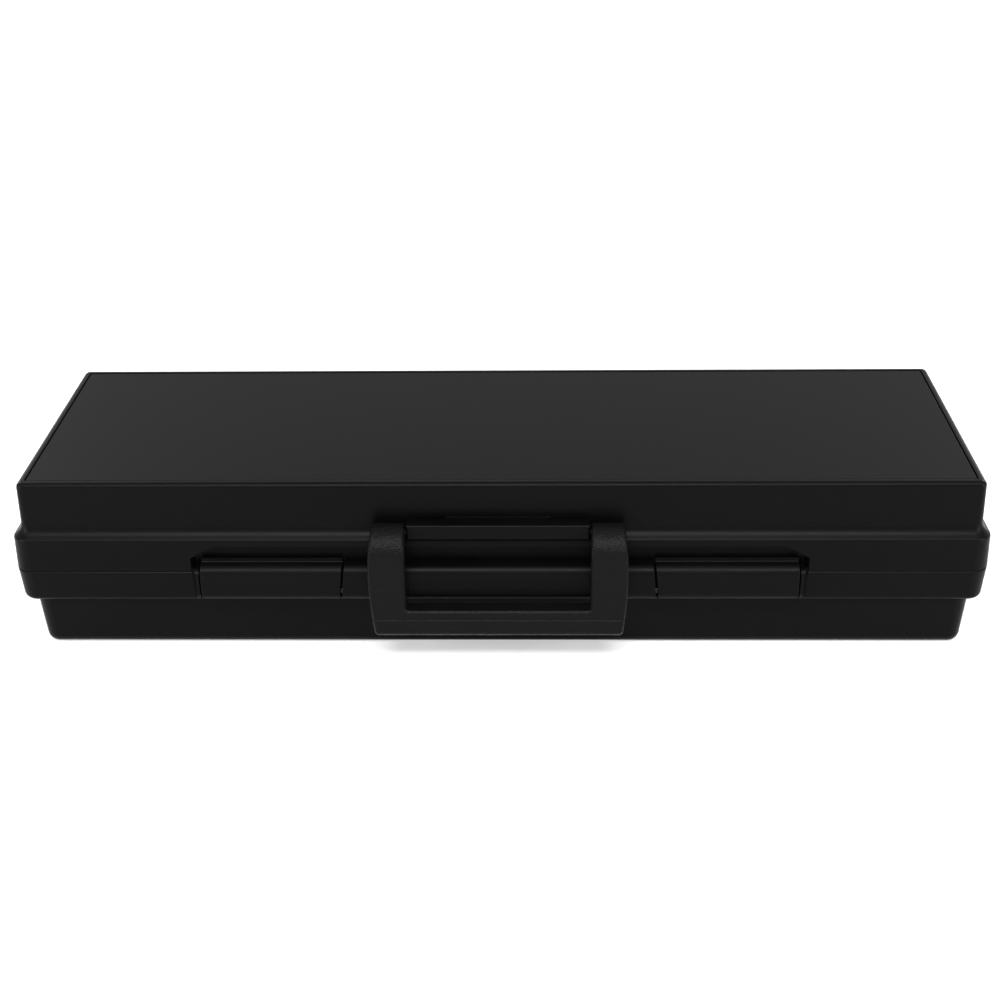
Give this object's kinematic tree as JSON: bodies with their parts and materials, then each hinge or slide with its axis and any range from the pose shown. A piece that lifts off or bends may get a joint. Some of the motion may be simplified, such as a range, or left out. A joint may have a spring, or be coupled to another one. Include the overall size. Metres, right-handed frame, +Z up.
{
  "type": "component storage box",
  "caption": "Long, shallow hard case: lid and base meet in a stepped band, hinged at the back, with snap latches in a front recess and a fold-down bail handle.",
  "frame": {"origin": "on the flat underside, in the middle of the case's length and depth", "axes": "+X to the right end seen from the front, -Y out of the front with the handle and latches, +Z up"},
  "size_m": [0.48, 0.1703, 0.093],
  "materials": {
    "case_plastic": "satin",
    "panel_plastic": "matte",
    "handle_plastic": "matte",
    "latch_plastic": "satin",
    "pin_steel": "satin",
    "foam": "matte"
  },
  "bodies": {
    "base": {"base_shell": "case_plastic", "latch_pin_left": "pin_steel", "latch_pin_right": "pin_steel", "hinge_pin_left": "pin_steel", "hinge_pin_right": "pin_steel", "base_foam": "foam"},
    "lid": {"lid_shell": "case_plastic", "lid_panel": "panel_plastic", "lid_foam": "foam"},
    "handle": {"handle": "handle_plastic"},
    "latch_left": {"latch_left": "latch_plastic"},
    "latch_right": {"latch_right": "latch_plastic"}
  },
  "joints": [
    {"name": "lid_hinge", "type": "hinge", "parent": "base", "child": "lid", "pos_m": [0, 0.0778, 0.047], "axis": [-1, 0, 0], "range_deg": [0, 180]},
    {"name": "handle_hinge", "type": "hinge", "parent": "lid", "child": "handle", "pos_m": [0, -0.0748, 0.0701], "axis": [-1, 0, 0], "range_deg": [0, 110]},
    {"name": "latch_left_hinge", "type": "hinge", "parent": "base", "child": "latch_left", "pos_m": [-0.112, -0.0746, 0.0372], "axis": [1, 0, 0], "range_deg": [0, 120]},
    {"name": "latch_right_hinge", "type": "hinge", "parent": "base", "child": "latch_right", "pos_m": [0.112, -0.0746, 0.0372], "axis": [1, 0, 0], "range_deg": [0, 120]}
  ]
}
